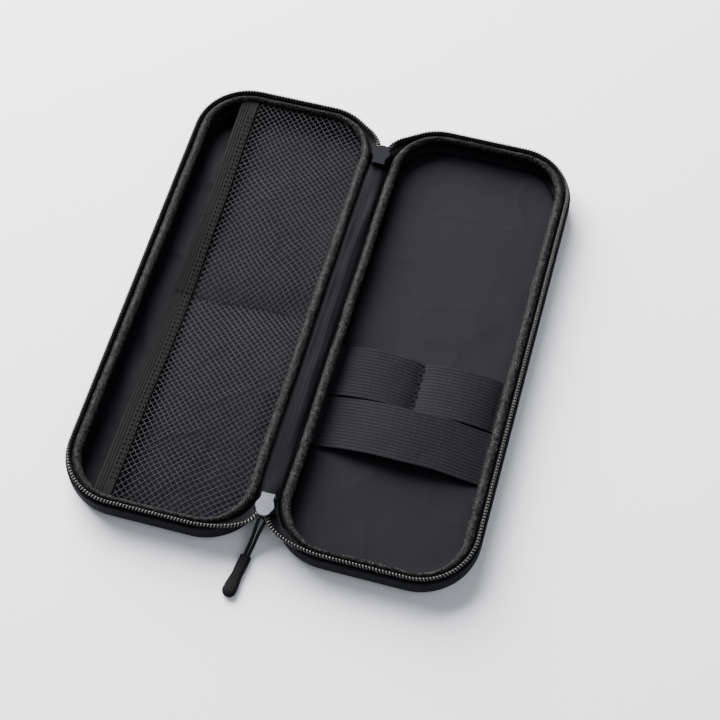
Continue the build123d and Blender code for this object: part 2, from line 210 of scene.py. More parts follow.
def sheet_solid(name: str, top: Array, thickness: float) -> bpy.types.Object:
    """A closed thin body between a grid of points and the same grid set lower.

    Args:
        name: the piece's name.
        top: (rows, columns, 3) points of the upper face, in millimetres.
        thickness: how far the lower face lies under it.
    """
    bottom = top.copy()
    bottom[..., 2] -= thickness
    rows, columns = top.shape[:2]
    ring = np.concatenate([top, bottom[:, ::-1]], axis=1)
    quads = grid_quads(rows, 2 * columns, False, True)
    cap = np.arange(columns - 1)
    first = np.stack([cap, cap + 1, 2 * columns - 2 - cap, 2 * columns - 1 - cap], -1)
    last = (first + (rows - 1) * 2 * columns)[:, ::-1]
    return add_mesh(name, ring, np.concatenate([quads, first, last]))


def tube(name: str, line: Array, radius: Array, sides: int) -> bpy.types.Object:
    """A round bar along a line: circles square to the line, joined in order, with closed ends."""
    along = np.gradient(line, axis=0)
    along /= np.linalg.norm(along, axis=1, keepdims=True)
    up = np.array([0.0, 0.0, 1.0])
    side = np.cross(along, up)
    weak = np.linalg.norm(side, axis=1) < 1e-3
    side[weak] = np.array([1.0, 0.0, 0.0])
    side /= np.linalg.norm(side, axis=1, keepdims=True)
    over = np.cross(side, along)
    line, side, over = (np.concatenate([a[:1], a, a[-1:]]) for a in (line, side, over))
    radius = np.concatenate([[0.0], radius, [0.0]])
    turn = full_turn(sides)
    circle = np.cos(turn)[None, :, None] * side[:, None] + np.sin(turn)[None, :, None] * over[:, None]
    points = line[:, None] + circle * radius[:, None, None]
    return lathe_grid(name, points, wrap_columns=True)


def joined(name: str, pieces: Sequence[bpy.types.Object]) -> bpy.types.Object:
    """One object from several, which are removed."""
    vertices, faces, start = [], [], 0
    for piece in pieces:
        mesh = piece.data
        co = np.empty(3 * len(mesh.vertices))
        mesh.vertices.foreach_get("co", co)
        vertices.append(co.reshape(-1, 3))
        faces += [[v + start for v in face.vertices] for face in mesh.polygons]
        start += len(mesh.vertices)
        bpy.data.objects.remove(piece)
    mesh = bpy.data.meshes.new(name)
    mesh.from_pydata(np.concatenate(vertices).tolist(), [], faces)
    mesh.polygons.foreach_set("use_smooth", [True] * len(mesh.polygons))
    whole = bpy.data.objects.new(name, mesh)
    bpy.context.scene.collection.objects.link(whole)
    return whole


# ---------------------------------------------------------------- shader nodes


class Value:
    """A node's output socket that can be used in Python expressions on numbers."""

    def __init__(self, nodes: "Shader", socket: bpy.types.NodeSocket) -> None:
        """Keeps the socket and the shader that it belongs to."""
        self.nodes, self.socket = nodes, socket

    def _math(self, operation: str, *values: "Value | float") -> "Value":
        """Adds a Math node with this operation."""
        return self.nodes.add("ShaderNodeMath", {"operation": operation}, dict(enumerate(values)))

    def __add__(self, other: "Value | float") -> "Value":
        """Sum."""
        return self._math("ADD", self, other)

    def __sub__(self, other: "Value | float") -> "Value":
        """Difference."""
        return self._math("SUBTRACT", self, other)

    def __mul__(self, other: "Value | float") -> "Value":
        """Product."""
        return self._math("MULTIPLY", self, other)

    def sine(self) -> "Value":
        """Sine of the value, in radians."""
        return self._math("SINE", self)

    def clamped(self, low: float, high: float) -> "Value":
        """The value's place between low and high, from 0 to 1."""
        return self.nodes.add(
            "ShaderNodeMapRange", {}, {"Value": self, "From Min": low, "From Max": high}
        )


class Coordinates(Enum):
    """Where a pattern takes its coordinates from."""

    OBJECT = "Object"
    SURFACE = "UV"


class Shader:
    """A material under construction, with one method that adds any node."""

    def __init__(self, name: str) -> None:
        """Starts a material with nodes and finds its shader."""
        self.material = bpy.data.materials.new(name)
        self.material.use_nodes = True
        self.tree = self.material.node_tree
        self.surface = self.tree.nodes["Principled BSDF"]

    def add(self, kind: str, settings: dict, values: dict, output: str | int = 0) -> Value:
        """Adds a node.

        Args:
            kind: the node's type.
            settings: its own settings, which are set first.
            values: a constant or a Value for each input, by its name or number.
            output: the name or number of the output wanted.
        """
        node = self.tree.nodes.new(kind)
        for key, setting in settings.items():
            setattr(node, key, setting)
        for key, value in values.items():
            self.link(node.inputs[key], value)
        return Value(self, node.outputs[output])

    def link(self, socket: bpy.types.NodeSocket, value: "Value | float | tuple") -> None:
        """Joins a Value to a socket, or sets the socket to a constant."""
        if isinstance(value, Value):
            self.tree.links.new(value.socket, socket)
        else:
            socket.default_value = value

    def place(self, source: Coordinates) -> Value:
        """Coordinates for a pattern."""
        return self.add("ShaderNodeTexCoord", {}, {}, source.value)

    def axes(self, place: Value) -> tuple[Value, Value, Value]:
        """The three components of coordinates."""
        split = self.add("ShaderNodeSeparateXYZ", {}, {0: place})
        outputs = split.socket.node.outputs
        return tuple(Value(self, outputs[k]) for k in range(3))

    def noise(self, place: Value, scale: float, detail: float = 3.0) -> Value:
        """Cloudy noise from 0 to 1."""
        return self.add(
            "ShaderNodeTexNoise", {}, {"Vector": place, "Scale": scale, "Detail": detail}
        )

    def mix(self, factor: Value | float, low: tuple, high: tuple) -> Value:
        """A colour between two, by a factor."""
        return self.add(
            "ShaderNodeMix",
            {"data_type": "RGBA"},
            {0: factor, 6: (*low, 1.0), 7: (*high, 1.0)},
            2,
        )

    def bump(self, height: Value, strength: float, distance: float) -> None:
        """Feeds the surface's normal from a height.

        Args:
            height: the height, about 0 to 1.
            strength: how strongly it tilts the surface.
            distance: height of a full step, in metres.
        """
        normal = self.add(
            "ShaderNodeBump", {}, {"Strength": strength, "Distance": distance, "Height": height}
        )
        self.link(self.surface.inputs["Normal"], normal)

    def set(self, **values: "Value | float | tuple") -> None:
        """Sets the surface's inputs, by their names with underscores for spaces."""
        for key, value in values.items():
            self.link(self.surface.inputs[key.replace("_", " ")], value)


@dataclass(frozen=True)
class Cloth:
    """Close-woven cloth: fine threads both ways under faint clouds of tone.

    Attributes:
        name: the material's name.
        dark: base colour in the hollows of the weave.
        light: base colour on the threads.
        roughness: mean roughness.
        threads: threads in a millimetre.
        depth: depth of the weave, in metres.
        shine: level of the mirror-like reflection.
        sheen: weight of the sheen.
    """

    name: str
    dark: Color
    light: Color
    roughness: float
    threads: float
    depth: float
    shine: float
    sheen: float = 0.0

    def build(self) -> bpy.types.Material:
        """Weave of two crossed sine waves under clouds of tone."""
        shader = Shader(self.name)
        place = shader.place(Coordinates.OBJECT)
        x, y, z = shader.axes(place)
        wave = 2 * math.pi * self.threads / MM
        weave = ((x * wave).sine() * ((y + z * 0.7) * wave).sine()) * 0.5 + 0.5
        cloud = shader.noise(place, 38.0, 4.0)
        grain = shader.noise(place, 2600.0, 2.0)
        tone = (weave * 0.35 + grain * 0.35 + cloud * 0.3).clamped(0.2, 0.8)
        shader.set(
            Base_Color=shader.mix(tone, self.dark, self.light),
            Roughness=cloud * 0.12 + (self.roughness - 0.06),
            Sheen_Weight=self.sheen,
            Sheen_Roughness=0.45,
            Specular_IOR_Level=self.shine,
        )
        shader.bump(weave * 0.6 + grain * 0.4, 0.6, self.depth)
        return shader.material


@dataclass(frozen=True)
class BoundTape:
    """Puffy binding tape: a diagonal twill with light flecks, along the piece's own surface."""

    name: str = "binding_tape"
    dark: Color = (0.0006, 0.0006, 0.0008)
    light: Color = (0.064, 0.064, 0.062)
    pitch: float = 0.64

    def build(self) -> bpy.types.Material:
        """Two crossed twills of the surface's own coordinates, broken up by noise."""
        shader = Shader(self.name)
        place = shader.place(Coordinates.SURFACE)
        u, v, _ = shader.axes(place)
        turn = 2 * math.pi / (self.pitch * MM)
        space = shader.place(Coordinates.OBJECT)
        flecks = shader.noise(space, 2300.0, 2.0)
        patches = shader.noise(space, 600.0, 3.0)
        twill = ((u + v * 0.8) * turn + flecks * 2.2).sine()
        cross = ((u - v * 0.8) * turn * 0.93 + flecks * 1.9).sine()
        height = (twill * cross) * 0.5 + 0.5
        tone = (height * 0.35 + flecks * 0.8 + patches * 0.35).clamped(0.76, 0.88)
        shader.set(
            Base_Color=shader.mix(tone, self.dark, self.light),
            Roughness=0.5,
            Specular_IOR_Level=0.05,
        )
        shader.bump(tone, 1.0, 0.0003)
        return shader.material


@dataclass(frozen=True)
class Plain:
    """Smooth hard or rubbery finish with faint mottling and fine marks.

    Attributes:
        name: the material's name.
        color: base colour.
        roughness: mean roughness.
        metallic: 1 for bare or plated metal.
        grain: size of the fine texture, in metres.
        depth: its depth, in metres.
        shine: level of the mirror-like reflection.
    """

    name: str
    color: Color
    roughness: float
    metallic: float = 0.0
    grain: float = 0.0004
    depth: float = 0.00001
    shine: float = 0.5

    def build(self) -> bpy.types.Material:
        """Noise in tone, roughness and height."""
        shader = Shader(self.name)
        place = shader.place(Coordinates.OBJECT)
        cloud = shader.noise(place, 160.0, 4.0)
        grain = shader.noise(place, 1 / self.grain, 2.0)
        low = tuple(0.8 * c for c in self.color)
        high = tuple(min(1.0, 1.25 * c) for c in self.color)
        shader.set(
            Base_Color=shader.mix((cloud * 0.6 + grain * 0.4).clamped(0.3, 0.7), low, high),
            Roughness=(cloud - 0.5) * 0.15 + self.roughness,
            Metallic=self.metallic,
            Specular_IOR_Level=self.shine,
        )
        shader.bump(grain, 0.5, self.depth)
        return shader.material


@dataclass(frozen=True)
class Braid:
    """Thin braided cord: crossed strands that wind round it."""

    name: str = "pull_cord"
    dark: Color = (0.0015, 0.0015, 0.002)
    light: Color = (0.010, 0.010, 0.012)
    pitch: float = 0.55

    def build(self) -> bpy.types.Material:
        """Two crossed sine waves."""
        shader = Shader(self.name)
        place = shader.place(Coordinates.OBJECT)
        x, y, z = shader.axes(place)
        turn = 2 * math.pi / (self.pitch * MM)
        braid = (((x + y) * turn).sine() * ((y - x + z) * turn).sine()) * 0.5 + 0.5
        shader.set(
            Base_Color=shader.mix(braid, self.dark, self.light),
            Roughness=0.65,
            Specular_IOR_Level=0.2,
        )
        shader.bump(braid, 0.8, 0.00012)
        return shader.material


# ---------------------------------------------------------------- the tray's outline


@dataclass
class Outline:
    """Plan line round one tray and its offsets, in millimetres.

    Attributes:
        side: -1 for the left tray, 1 for the right one.
        width: the tray across.
        length: the tray along the spine.
        radius: its corners.
        gap: between the two trays' outer walls.
    """

    side: int
    width: float = 88.0
    length: float = 224.0
    radius: float = 26.0
    gap: float = 4.5

    @property
    def middle(self) -> float:
        """X of the tray's middle."""
        return self.side * (self.gap + self.width) / 2

    def around(self, step: float) -> tuple[Array, Array, Array]:
        """Points, outward normals and distance along the outline.

        The line starts at the middle of the spine side and goes round the front end first.
        Corners are arcs about four fixed centres, so that an inset moves points along their normals.

        Args:
            step: spacing of the points along the outline.

        Returns:
            Arrays of shape (n, 2), (n, 2) and (n,), closed, without the repeated last point.
        """
        cx, cy = self.width / 2 - self.radius, self.length / 2 - self.radius
        arc = self.radius * math.pi / 2
        runs = [cy, arc, 2 * cx, arc, 2 * cy, arc, 2 * cx, arc, cy]
        n_side, n_arc, n_end = (max(2, int(r / step)) for r in (cy, arc, 2 * cx))
        counts = [n_side, n_arc, n_end, n_arc, 2 * n_side, n_arc, n_end, n_arc, n_side]
        inward = -self.side
        starts = [0, 0, -90, -90, -180, -180, -270, -270, -360]
        points, normals, lengths, run_start = [], [], [], 0.0
        corners = [(cx, -cy)] * 3 + [(-cx, -cy)] * 2 + [(-cx, cy)] * 2 + [(cx, cy)] * 2
        for k, (run, count) in enumerate(zip(runs, counts)):
            t = np.arange(count) / count
            if k % 2:
                angle = np.radians(starts[k] - 90 * t)
                normal = np.stack([np.cos(angle), np.sin(angle)], -1)
                place = np.array(corners[k]) + self.radius * normal
            else:
                angle = math.radians(starts[k])
                normal = np.broadcast_to([math.cos(angle), math.sin(angle)], (count, 2))
                heading = np.array([math.sin(angle), -math.cos(angle)])
                begin = np.array([cx + self.radius, 0.0]) if k == 0 else last
                place = begin + heading * (run * t)[:, None]
            points.append(place)
            normals.append(normal)
            lengths.append(run_start + run * t)
            run_start += run
            if k % 2:
                end = math.radians(starts[k] - 90)
                last = np.array(corners[k]) + self.radius * np.array([math.cos(end), math.sin(end)])
            else:
                last = begin + heading * run
        place, normal = np.concatenate(points), np.concatenate(normals)
        place, normal = place * [inward, 1], normal * [inward, 1]
        place = place + [self.middle, 0]
        return place, normal, np.concatenate(lengths)

    def swept(
        self, profile: Array, step: float, wobble: Callable | None = None
    ) -> tuple[Array, Array]:
        """A closed section carried all round the outline.

        Args:
            profile: (k, 2) points of the section: inset from the outer wall, and height.
            step: spacing along the outline.
            wobble: changes of the section, (n, k, 2), from the distances and the outward normals.

        Returns:
            Points of shape (n, k, 3) and surface coordinates of shape (n, k, 2), in metres.
        """
        place, normal, along = self.around(step)
        section = np.broadcast_to(profile, (len(place), *profile.shape)).copy()
        if wobble is not None:
            section += wobble(along, normal)
        flat = place[:, None] - normal[:, None] * section[..., :1]
        points = np.concatenate([flat, section[..., 1:]], -1)
        loop = np.concatenate([profile, profile[:1]])
        across = np.cumsum(np.r_[0, np.linalg.norm(np.diff(loop, axis=0), axis=1)])[:-1]
        uv = np.stack(np.meshgrid(along, across, indexing="ij"), -1) * MM
        return points, uv

    def dished(self, profile: Array, step: float, fill: int) -> Array:
        """A tray-shaped surface: rings from the rim inward, then a floor that closes on a line.

        Args:
            profile: (k, 2) inset and height of each ring. The last one is the floor's edge.
            step: spacing along the outline.
            fill: number of rings across the floor.

        Returns:
            Points of shape (rings, n, 3). The last ring lies twice on the tray's middle line.
        """
        place, normal, _ = self.around(step)
        rings = place[None] - normal[None] * profile[:, 0][:, None, None]
        half_run = (self.length - self.width) / 2
        middle_y = np.clip(rings[-1][:, 1], -half_run, half_run)
        spine = np.stack([np.full(len(place), self.middle), middle_y], -1)
        t = (np.arange(1, fill + 1) / fill)[:, None, None]
        floor = rings[-1][None] * (1 - t) + spine[None] * t
        flat = np.concatenate([rings, floor])
        height = np.concatenate([profile[:, 1], np.full(fill, profile[-1, 1])])
        z = np.broadcast_to(height[:, None, None], (*flat.shape[:2], 1))
        return np.concatenate([flat, z], -1)

    def inside(self, x: Array, y: Array, inset: float) -> Array:
        """Distance of points inside the outline at an inset: positive inside."""
        qx = np.abs(x - self.middle) - (self.width / 2 - self.radius)
        qy = np.abs(y) - (self.length / 2 - self.radius)
        outside = np.hypot(np.maximum(qx, 0), np.maximum(qy, 0))
        return self.radius - inset - outside - np.minimum(np.maximum(qx, qy), 0)


# ---------------------------------------------------------------- finishes


def made(finish: Cloth | BoundTape | Plain | Braid) -> bpy.types.Material:
    """A field that holds the finish's material, built together with the Finishes."""
    return field(default_factory=finish.build)


@dataclass
class Finishes:
    """Every finish of the pouch, built once."""

    shell: bpy.types.Material = made(
        Cloth("outer_cloth", (0.0036, 0.0036, 0.0044), (0.0115, 0.0115, 0.0138), 0.72, 1.9, 0.00006, 0.05)
    )
    lining: bpy.types.Material = made(
        Cloth("lining_cloth", (0.0048, 0.0048, 0.0062), (0.0084, 0.0084, 0.0108), 0.42, 3.0, 0.00003, 0.018)
    )
    pad: bpy.types.Material = made(
        Cloth("pad_cloth", (0.0062, 0.0061, 0.0078), (0.0106, 0.0105, 0.0130), 0.55, 2.6, 0.00004, 0.03)
    )
    spine: bpy.types.Material = made(
        Cloth("spine_cloth", (0.003, 0.003, 0.0038), (0.0055, 0.0055, 0.0068), 0.55, 3.0, 0.00003, 0.02)
    )
    tape: bpy.types.Material = made(
        Cloth("zip_tape", (0.001, 0.001, 0.0015), (0.004, 0.004, 0.005), 0.7, 1.4, 0.00010, 0.05)
    )
    elastic: bpy.types.Material = made(
        Cloth("elastic", (0.0042, 0.0042, 0.0052), (0.0135, 0.0135, 0.0156), 0.62, 1.7, 0.00010, 0.025)
    )
    edge_elastic: bpy.types.Material = made(
        Cloth("edge_elastic", (0.0026, 0.0026, 0.0026), (0.0092, 0.0092, 0.0090), 0.62, 1.7, 0.00012, 0.025)
    )
    thread: bpy.types.Material = made(
        Cloth("thread", (0.001, 0.001, 0.0015), (0.005, 0.005, 0.006), 0.6, 4.0, 0.00005, 0.08, 0.03)
    )
    binding: bpy.types.Material = made(BoundTape())
    coil: bpy.types.Material = made(Plain("zip_coil", (0.042, 0.040, 0.037), 0.25, shine=0.45))
    net: bpy.types.Material = made(Plain("pocket_net", (0.0165, 0.0165, 0.019), 0.38, shine=0.09))
    gunmetal: bpy.types.Material = made(
        Plain("gunmetal", (0.075, 0.081, 0.093), 0.34, metallic=0.9, grain=0.0006)
    )
    # Painted shade: the back slider has the same metal as the front one, made dark with almost no
    # reflection to stand in for the shade on it.
    painted_shade_slider_metal: bpy.types.Material = made(
        Plain("black_slider_metal", (0.008, 0.0085, 0.0105), 0.5, grain=0.0006, depth=0.00002, shine=0.02)
    )
    cord: bpy.types.Material = made(Braid())
    rubber: bpy.types.Material = made(
        Plain("grip_rubber", (0.0036, 0.0036, 0.004), 0.6, grain=0.0003, depth=0.00004, shine=0.06)
    )
    board: bpy.types.Material = made(Plain("stiffener", (0.03, 0.03, 0.03), 0.6))


def coat(piece: bpy.types.Object, material: bpy.types.Material) -> None:
    """Makes this the piece's only material."""
    piece.data.materials.clear()
    piece.data.materials.append(material)


def dress(
    piece: bpy.types.Object, body: str, slot: str, material: bpy.types.Material, *nodes: str
) -> bpy.types.Object:
    """Gives a new piece its material and body, hides the CAD nodes it stands for, and logs its face count.
    """
    coat(piece, material)
    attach(piece, body)
    if nodes:
        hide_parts(*nodes)
    size = len(piece.data.polygons) if piece.type == "MESH" else 0
    LOG.info("%s on %s: %d faces", piece.name, body, size)
    return piece


# ---------------------------------------------------------------- one tray


@dataclass
class Tray:
    """What both trays share: moulded shell, lining, binding, zip tape and coil.

    Attributes:
        side: -1 for the left tray, 1 for the right one.
        finishes: every finish of the pouch.
        edge_radius: of the shell's rounded lower edge.
        wall: thickness of the shell.
        shell_top: height of its rim.
        lining_inset: of the lining on the wall, in from the outer wall.
        lining_floor: height of the lining on the floor.
        lining_foot: its radius between the wall and the floor.
        binding_inset: of the binding's middle.
        binding_z: its height.
        binding_half: half its width and height on the long sides.
        end_half: the same on the two ends.
        coil_pitch: length of one turn of the coil.
        coil_inset: of the coil's middle.
        coil_z: its height.
        coil_lean: its tilt out of the upright, in degrees.
        coil_half: half its width and thickness.
        wire: radius of its wire.
        slider_noses: Y where the zip enters the front and the back slider.
        zip_reach: how far before each slider the zip leaves the tray's corner.
        zip_pull: how strongly it is drawn straight at both ends of that stretch.
    """

    side: int
    finishes: Finishes
    edge_radius: float = 5.4
    wall: float = 1.8
    shell_top: float = 11.9
    lining_inset: float = 2.3
    lining_floor: float = 3.0
    lining_foot: float = 4.0
    binding_inset: float = 5.3
    binding_z: float = 12.4
    binding_half: tuple[float, float] = (2.1, 1.7)
    end_half: tuple[float, float] = (1.3, 2.0)
    coil_pitch: float = 1.4
    coil_inset: float = 1.75
    coil_z: float = 13.8
    coil_lean: float = 12.0
    coil_half: tuple[float, float] = (0.95, 0.52)
    wire: float = 0.30
    slider_noses: tuple[float, float] = (-98.6, 92.8)
    zip_reach: tuple[float, float] = (11.5, 13.0)
    zip_pull: float = 27.0

    def __post_init__(self) -> None:
        """Names the tray and sets up its outline."""
        self.outline = Outline(self.side)
        self.name = "left" if self.side < 0 else "right"
        self.body = self.name + "_half"

    def shell(self) -> bpy.types.Object:
        """Moulded tray: rings up the outside, over the rim and down inside, closed at both floors."""
        r, w = self.edge_radius, self.wall
        step, fill = 1.6, 22
        outer = arc_points((r, r), r, 270, 180, 12)
        inner = arc_points((r, r), r - w, 180, 270, 12)
        top = arc_points((w / 2, self.shell_top - w / 2), w / 2, 180, 0, 7)
        profile = np.concatenate([outer, top, inner])
        floor_out = self.outline.dished(profile[:1], step, fill)[1:][::-1]
        points = np.concatenate([floor_out, self.outline.dished(profile, step, fill)])
        noise = Noise(3 + self.side)
        soft = noise.octaves(points[..., 0] / 28, points[..., 1] / 28) * 0.10
        height = smooth(0.5, 6, points[..., 2])
        points[..., 2] += np.where(points[..., 2] < 1.0, np.abs(soft), soft * 0.3 * height)
        piece = lathe_grid(self.name + "_moulded_shell", points, wrap_columns=True)
        return dress(piece, self.body, "outer_cloth", self.finishes.shell, self.name + "_shell")

    def lining(self) -> bpy.types.Object:
        """Lining: down the wall, round the foot and over the floor, with soft creases."""
        inset, floor, foot = self.lining_inset, self.lining_floor, self.lining_foot
        wall = np.stack([np.linspace(inset + 1.2, inset, 4), np.linspace(11.9, 10.6, 4)], -1)
        down = np.stack([np.full(8, inset), np.linspace(10.2, floor + foot, 8)], -1)
        bend = arc_points((inset + foot, floor + foot), foot, 180, 270, 10)
        profile = np.concatenate([wall, down, bend[1:]])
        points = self.outline.dished(profile, 1.1, 42)
        noise = Noise(11 + self.side)
        x, y = points[..., 0], points[..., 1]
        depth = self.outline.inside(x, y, inset)
        free = smooth(11.9, 9.0, points[..., 2])
        broad = noise(x / 11 + y / 40, y / 24 - x / 60) * 0.9
        crease = noise.ridges(x / 24 + y / 50, y / 30 - x / 30) * 0.3
        swell = (broad + crease) * free * (0.35 + 0.65 * smooth(26, 8, depth))
        points[..., 2] += np.clip(swell, -0.35, 2.0) * smooth(1.0, 4.0, depth + 2)
        center = np.array([self.outline.middle, 0])
        pull = (points[..., :2] - center) * [1 / 40, 1 / 104]
        size = np.maximum(np.abs(pull).max(-1, keepdims=True), 1e-6)
        wallness = free[..., None] * smooth(6, 0, depth)[..., None]
        points[..., :2] -= pull / size * wallness * np.clip(broad + crease, 0, 2)[..., None] * 0.9
        piece = lathe_grid(self.name + "_lining_cloth", points, wrap_columns=True)
        return dress(piece, self.body, "lining_cloth", self.finishes.lining, self.name + "_lining")

    def binding(self) -> bpy.types.Object:
        """Rolled binding: an ellipse carried round the rim, with small puckers and slow waves."""
        half_w, half_h = self.binding_half
        turn = full_turn(30)
        oval = np.stack([np.cos(turn) * half_w, np.sin(turn) * half_h], -1)
        profile = oval + [self.binding_inset, self.binding_z]
        noise = Noise(23 + self.side)

        def puckers(along: Array, normal: Array) -> Array:
            """Changes of the section: taller and lower on the ends, pebbled, with slow waves."""
            end = np.abs(normal[:, 1])[:, None] ** 1.5
            across = np.cos(turn)[None] * (half_w + end * (self.end_half[0] - half_w))
            height = np.sin(turn)[None] * (half_h + end * (self.end_half[1] - half_h))
            weave = 2 * math.pi / 0.78
            girth = turn[None] * half_w
            pebble = np.sin((along[:, None] + girth) * weave) * np.sin((along[:, None] - girth) * weave)
            small = noise.octaves(along / 1.9, along * 0, 2)[:, None] * 0.09
            swell = (1 + small / half_w + pebble * 0.035)[..., None]
            change = np.stack([across, height], -1) * swell - oval[None]
            near = np.clip(-normal[:, 1], 0, 1)[:, None] ** 1.5
            change[..., 0] += (noise(along / 21, along * 0 + 4.5) * 0.35)[:, None] - 0.9 * end
            change[..., 1] += (noise(along / 26, along * 0 + 9.5) * 0.22)[:, None]
            change[..., 1] -= 0.5 * end + 0.4 * near
            return change

        points, uv = self.outline.swept(profile, 0.26, puckers)
        piece = lathe_grid(self.name + "_rolled_binding", points, True, True, uv)
        return dress(piece, self.body, "binding_tape", self.finishes.binding, self.name + "_binding")

    def zip_line(self, inset: float, step: float) -> tuple[Array, Array]:
        """Line of the zip on three sides, which leaves the corners and turns in to each slider.

        Args:
            inset: of the line, in from the outer wall.
            step: spacing of the points.

        Returns:
            Points and outward normals, each (n, 2), from the front slider to the back one.
        """
        place, normal, _ = self.outline.around(0.5)
        line = place - normal * inset
        near_spine = np.abs(line[:, 0]) < abs(self.outline.middle)
        front, back = self.slider_noses
        front_reach, back_reach = self.zip_reach
        keep = ~(near_spine & (line[:, 1] > front - front_reach) & (line[:, 1] < back + back_reach))
        line, normal = line[keep], normal[keep]
        mouth_x = self.side * (0.35 + 0.85 * inset)
        ends = []
        for k, way, nose in zip((0, -1), (-1, 1), self.slider_noses):
            start = np.array([mouth_x, nose])
            leaving = np.array([0.35 * self.side, way * 0.94]) * self.zip_pull
            arriving = np.array([-normal[k][1], normal[k][0]])
            arriving = arriving * np.sign(arriving @ (line[k] - start)) * self.zip_pull
            ends.append(bridge(start, leaving, line[k], arriving, 40))
        whole = evenly_spaced(np.concatenate([ends[0][:-1], line, ends[1][:-1][::-1]]), step)
        heading = np.gradient(whole, axis=0)
        heading /= np.linalg.norm(heading, axis=1, keepdims=True)
        outward = np.stack([heading[:, 1], -heading[:, 0]], -1)
        flip = np.sign(((whole - [self.outline.middle, 0]) * outward).sum(-1).mean())
        return whole, outward * flip

    def out_of_slider(self, line: Array) -> Array:
        """0 where the zip line enters a slider, rising to 1 where it stands on the rim."""
        front, back = self.slider_noses
        free = smooth(0.8, 8.0, np.maximum(front - line[:, 1], line[:, 1] - back))
        return np.where(np.abs(line[:, 0]) < abs(self.outline.middle), free, 1.0)

    def along_zip(self, line: Array, outward: Array, section: Array) -> Array:
        """A section of insets and heights, the same all along or one for each point of the line."""
        section = np.broadcast_to(section, (len(line), *section.shape[-2:]))
        flat = line[:, None] - outward[:, None] * section[..., :1]
        return np.concatenate([flat, section[..., 1:]], -1)

    def leaning(self, line: Array, across: Array, along: Array) -> Array:
        """Section points in the coil's own axes, which lie flat inside a slider.

        Args:
            line: points of the zip line, which give the lean.
            across: distance from the coil's middle towards its heads.
            along: distance square to that.

        Returns:
            Insets and heights, of the shape of the two arrays.
        """
        lean = np.radians(90 + (self.coil_lean - 90) * self.out_of_slider(line))
        lean = lean.reshape(-1, *[1] * (across.ndim - 1))
        out = across * np.sin(lean) + along * np.cos(lean)
        up = across * np.cos(lean) - along * np.sin(lean)
        return np.stack([-out, self.coil_z + up], -1)

    def zip_tape(self) -> bpy.types.Object:
        """Zip tape from under the binding to the coil, with the core that the coil is sewn on."""
        face = np.array([[5.4, 11.8], [4.2, 11.8], [3.3, 11.9], [2.6, 12.2], [2.1, 12.8], [1.7, 13.3]])
        back = face[::-1] + [[-0.5, -0.1], [-0.55, -0.2], [-0.5, -0.4], [-0.2, -0.5], [0, -0.5], [0, -0.5]]
        section = np.concatenate([face, back])
        in_slider = np.interp(section[:, 0], [3.2, 5.4], [13.5, 12.4])
        line, outward = self.zip_line(0.0, 1.0)
        free = self.out_of_slider(line)[:, None]
        ruffle = Noise(41)(np.arange(len(line)) / 14.0, np.zeros(len(line)))[:, None] * 0.12
        height = (section[None, :, 1] + ruffle) * free + in_slider[None] * (1 - free)
        inset = np.broadcast_to(section[None, :, 0], height.shape)
        points = self.along_zip(line, outward, np.stack([inset, height], -1))
        band = lathe_grid("tape_band", points, wrap_columns=True)
        line, outward = self.zip_line(self.coil_inset, 0.8)
        turn = full_turn(8)
        across = np.broadcast_to(np.cos(turn) * 0.75, (len(line), 8))
        flank = np.broadcast_to(np.sin(turn) * 0.42, (len(line), 8))
        core = self.along_zip(line, outward, self.leaning(line, across, flank))
        piece = joined(
            self.name + "_woven_zip_tape", [band, lathe_grid("core", core, wrap_columns=True)]
        )
        return dress(piece, self.body, "zip_tape", self.finishes.tape, self.name + "_zip_tape")

    def coil(self) -> bpy.types.Object:
        """Zip coil: one wire wound as a flattened helix, with a thicker head on every turn."""
        per_turn = 14
        line, outward = self.zip_line(self.coil_inset, self.coil_pitch / per_turn)
        phase = 2 * math.pi * np.arange(len(line)) / per_turn + (math.pi if self.side > 0 else 0)
        c, n = np.cos(phase), np.sin(phase)
        a, b = self.coil_half
        head, flank = squared_off(c, 0.75) * a, squared_off(n, 0.6) * b
        wire = self.along_zip(line, outward, self.leaning(line, head, flank)[:, None])[:, 0]
        radius = self.wire * (1 + 0.22 * np.clip(c, 0, 1) ** 3)
        piece = tube(self.name + "_zip_coil", wire, radius, sides=6)
        return dress(piece, self.body, "zip_coil", self.finishes.coil, self.name + "_zip_teeth")

    def build(self) -> None:
        """Builds every piece of the tray."""
        self.shell()
        self.lining()
        self.binding()
        self.zip_tape()
        self.coil()
        coat(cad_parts[self.name + "_base_board"], self.finishes.board)


# ---------------------------------------------------------------- the left tray's net pocket


